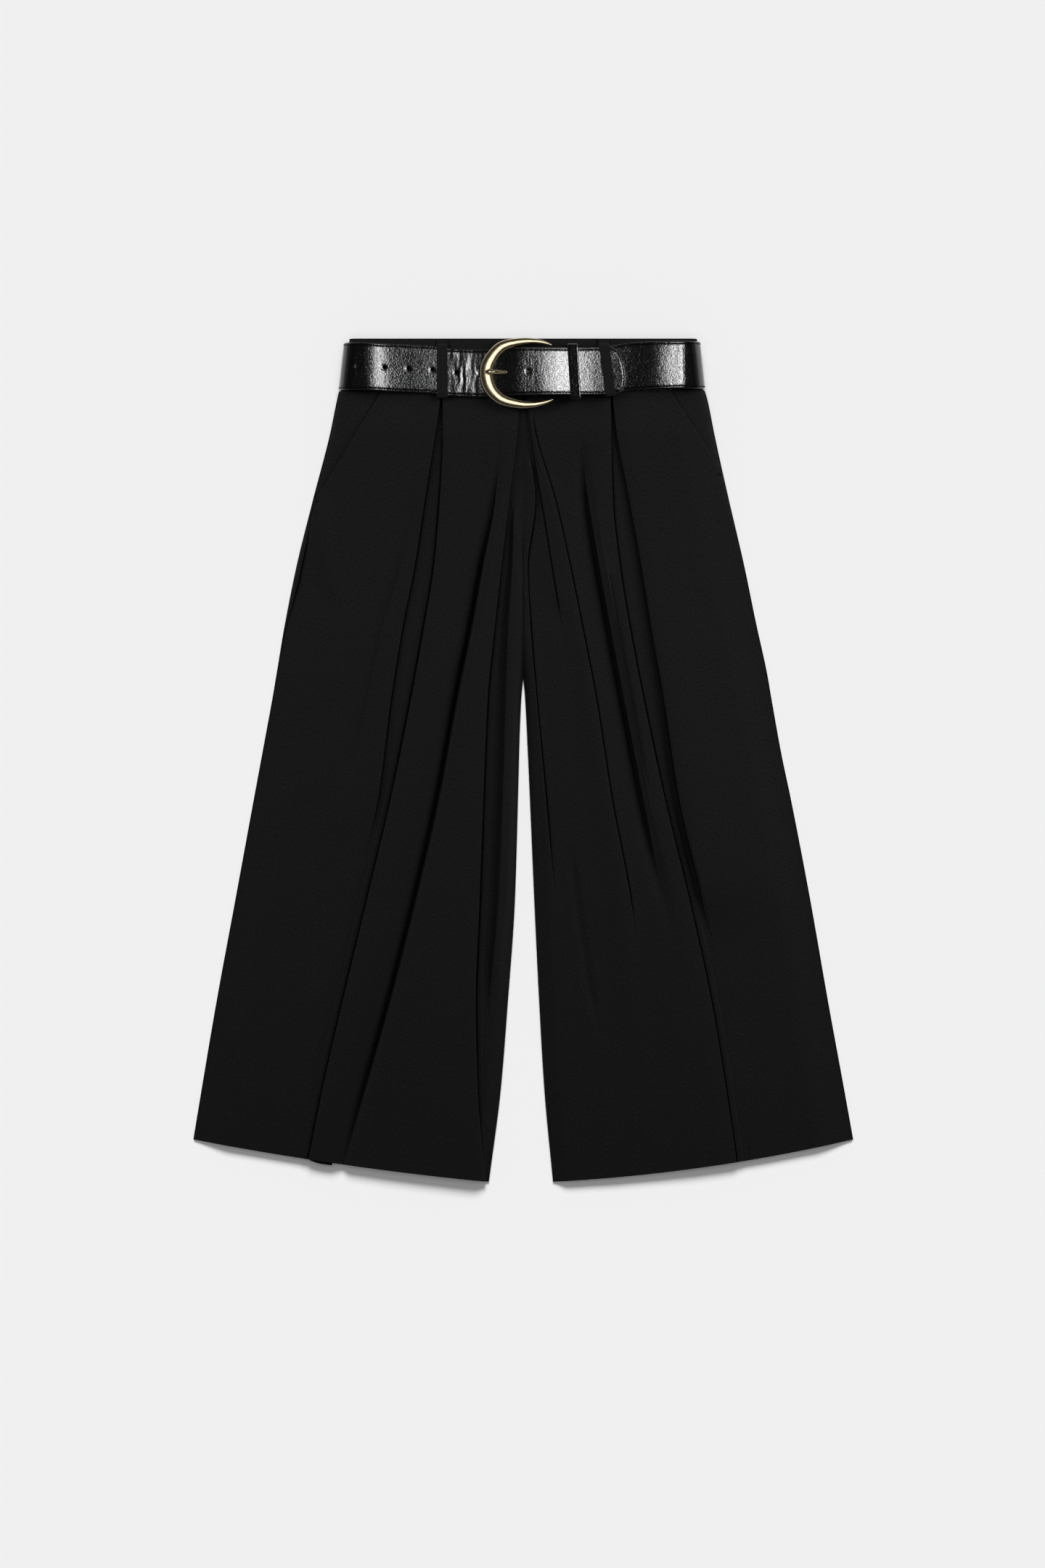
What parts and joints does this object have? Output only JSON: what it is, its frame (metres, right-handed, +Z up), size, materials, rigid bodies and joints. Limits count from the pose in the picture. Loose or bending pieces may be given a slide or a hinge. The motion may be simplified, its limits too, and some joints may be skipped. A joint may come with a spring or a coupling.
{
  "type": "culottes with belt",
  "caption": "Black wide-leg pleated culottes laid flat, front up, with a wide black leather belt threaded through the waist and fastened with a horseshoe-shaped gold buckle.",
  "frame": {"origin": "centre of the footprint, on the surface the garment lies on", "axes": "+Z up, away from the surface, with the front of the garment uppermost; +Y towards the waist and -Y towards the hems; +X towards the wearer's left side"},
  "size_m": [0.6817, 0.8712, 0.0333],
  "materials": {
    "cloth": "matte",
    "leather": "gloss",
    "gold": "polished"
  },
  "bodies": {
    "root": {"front_right": "cloth", "front_left": "cloth", "back_right": "cloth", "back_left": "cloth", "hip_right": "cloth", "hip_left": "cloth", "waistband_front": "cloth", "waistband_back": "cloth", "belt_loop_right": "cloth", "belt_loop_left": "cloth", "belt_strap": "leather", "belt_keeper": "leather", "buckle_frame": "gold", "buckle_prong": "gold"}
  },
  "joints": []
}
